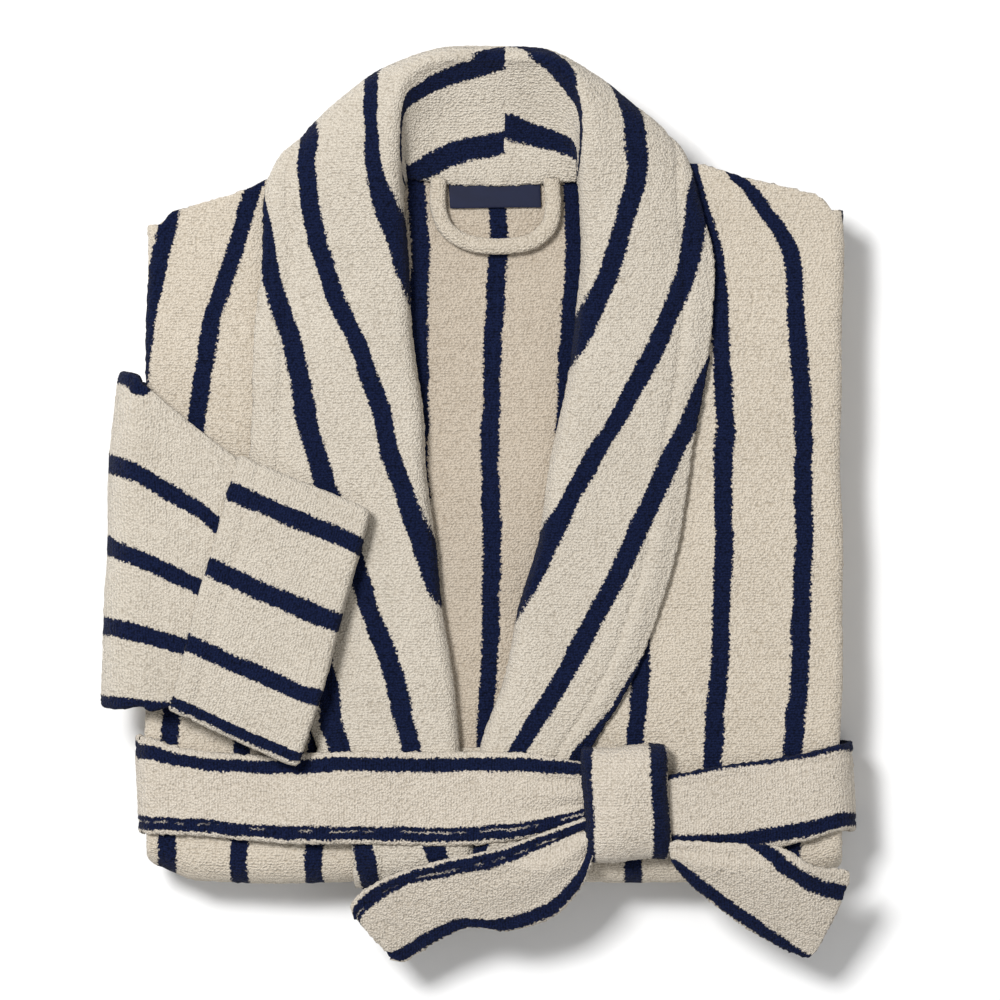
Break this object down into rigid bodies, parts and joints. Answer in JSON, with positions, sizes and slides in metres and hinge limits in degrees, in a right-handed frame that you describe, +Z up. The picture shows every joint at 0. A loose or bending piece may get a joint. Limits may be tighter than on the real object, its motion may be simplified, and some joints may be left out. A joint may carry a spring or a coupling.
{
  "type": "bathrobe",
  "caption": "Folded cream terry bathrobe with dark warp stripes, a shawl collar, a turned-back sleeve cuff, a hanging loop and a belt tied round it.",
  "frame": {"origin": "middle of the folded robe's underside, on the surface that it lies on", "axes": "+Y towards the collar, +X towards the wearer's left, +Z up away from the surface"},
  "size_m": [0.4717, 0.568, 0.085],
  "materials": {
    "body_terry": "cut terry",
    "trim_terry": "cut terry",
    "belt_terry": "cut terry",
    "woven_label": "satin weave",
    "printed_label": "satin weave",
    "loop_fabric": "plain weave"
  },
  "bodies": {
    "folded_robe": {"back_panel": "body_terry", "front_panel_right": "body_terry", "front_panel_left": "body_terry", "collar_right": "trim_terry", "collar_left": "trim_terry", "collar_facing_right": "trim_terry", "collar_facing_left": "trim_terry", "neck_label": "woven_label", "care_label": "printed_label", "pocket_right": "body_terry", "pocket_left": "body_terry", "belt_loop_right": "body_terry", "belt_loop_left": "body_terry", "sleeve_right_upper": "body_terry", "sleeve_right_fold": "body_terry", "sleeve_left": "body_terry", "cuff_left": "trim_terry"},
    "folded_sleeve": {"sleeve_right_forearm": "body_terry"},
    "turned_cuff": {"cuff_right": "trim_terry"},
    "loop": {"hang_loop": "loop_fabric"},
    "belt": {"belt_wrap": "belt_terry", "belt_knot": "belt_terry"},
    "left_tail": {"belt_tail_left": "belt_terry"},
    "right_tail": {"belt_tail_right": "belt_terry"}
  },
  "joints": [
    {"name": "belt_slide", "type": "slide", "parent": "folded_robe", "child": "belt", "axis": [0, -1, 0], "range_m": [0, 0.12]},
    {"name": "belt_tail_left_lift", "type": "hinge", "parent": "belt", "child": "left_tail", "pos_m": [0.0478, -0.1835, 0.07], "axis": [0, 1, 0], "range_deg": [0, 90]},
    {"name": "belt_tail_right_lift", "type": "hinge", "parent": "belt", "child": "right_tail", "pos_m": [0.1078, -0.1915, 0.07], "axis": [0, -1, 0], "range_deg": [0, 90]},
    {"name": "sleeve_unfold", "type": "hinge", "parent": "folded_robe", "child": "folded_sleeve", "pos_m": [-0.2515, 0.0015, 0.05575], "axis": [0, -1, 0], "range_deg": [0, 180], "deforming": ["sleeve_right_fold"]},
    {"name": "cuff_slide", "type": "slide", "parent": "folded_sleeve", "child": "turned_cuff", "axis": [0.9135, -0.4067, 0], "range_m": [0, 0.07]},
    {"name": "hang_loop_swing", "type": "hinge", "parent": "folded_robe", "child": "loop", "pos_m": [-0.0035, 0.222, 0.053], "axis": [-1, 0, 0], "range_deg": [0, 92]}
  ]
}
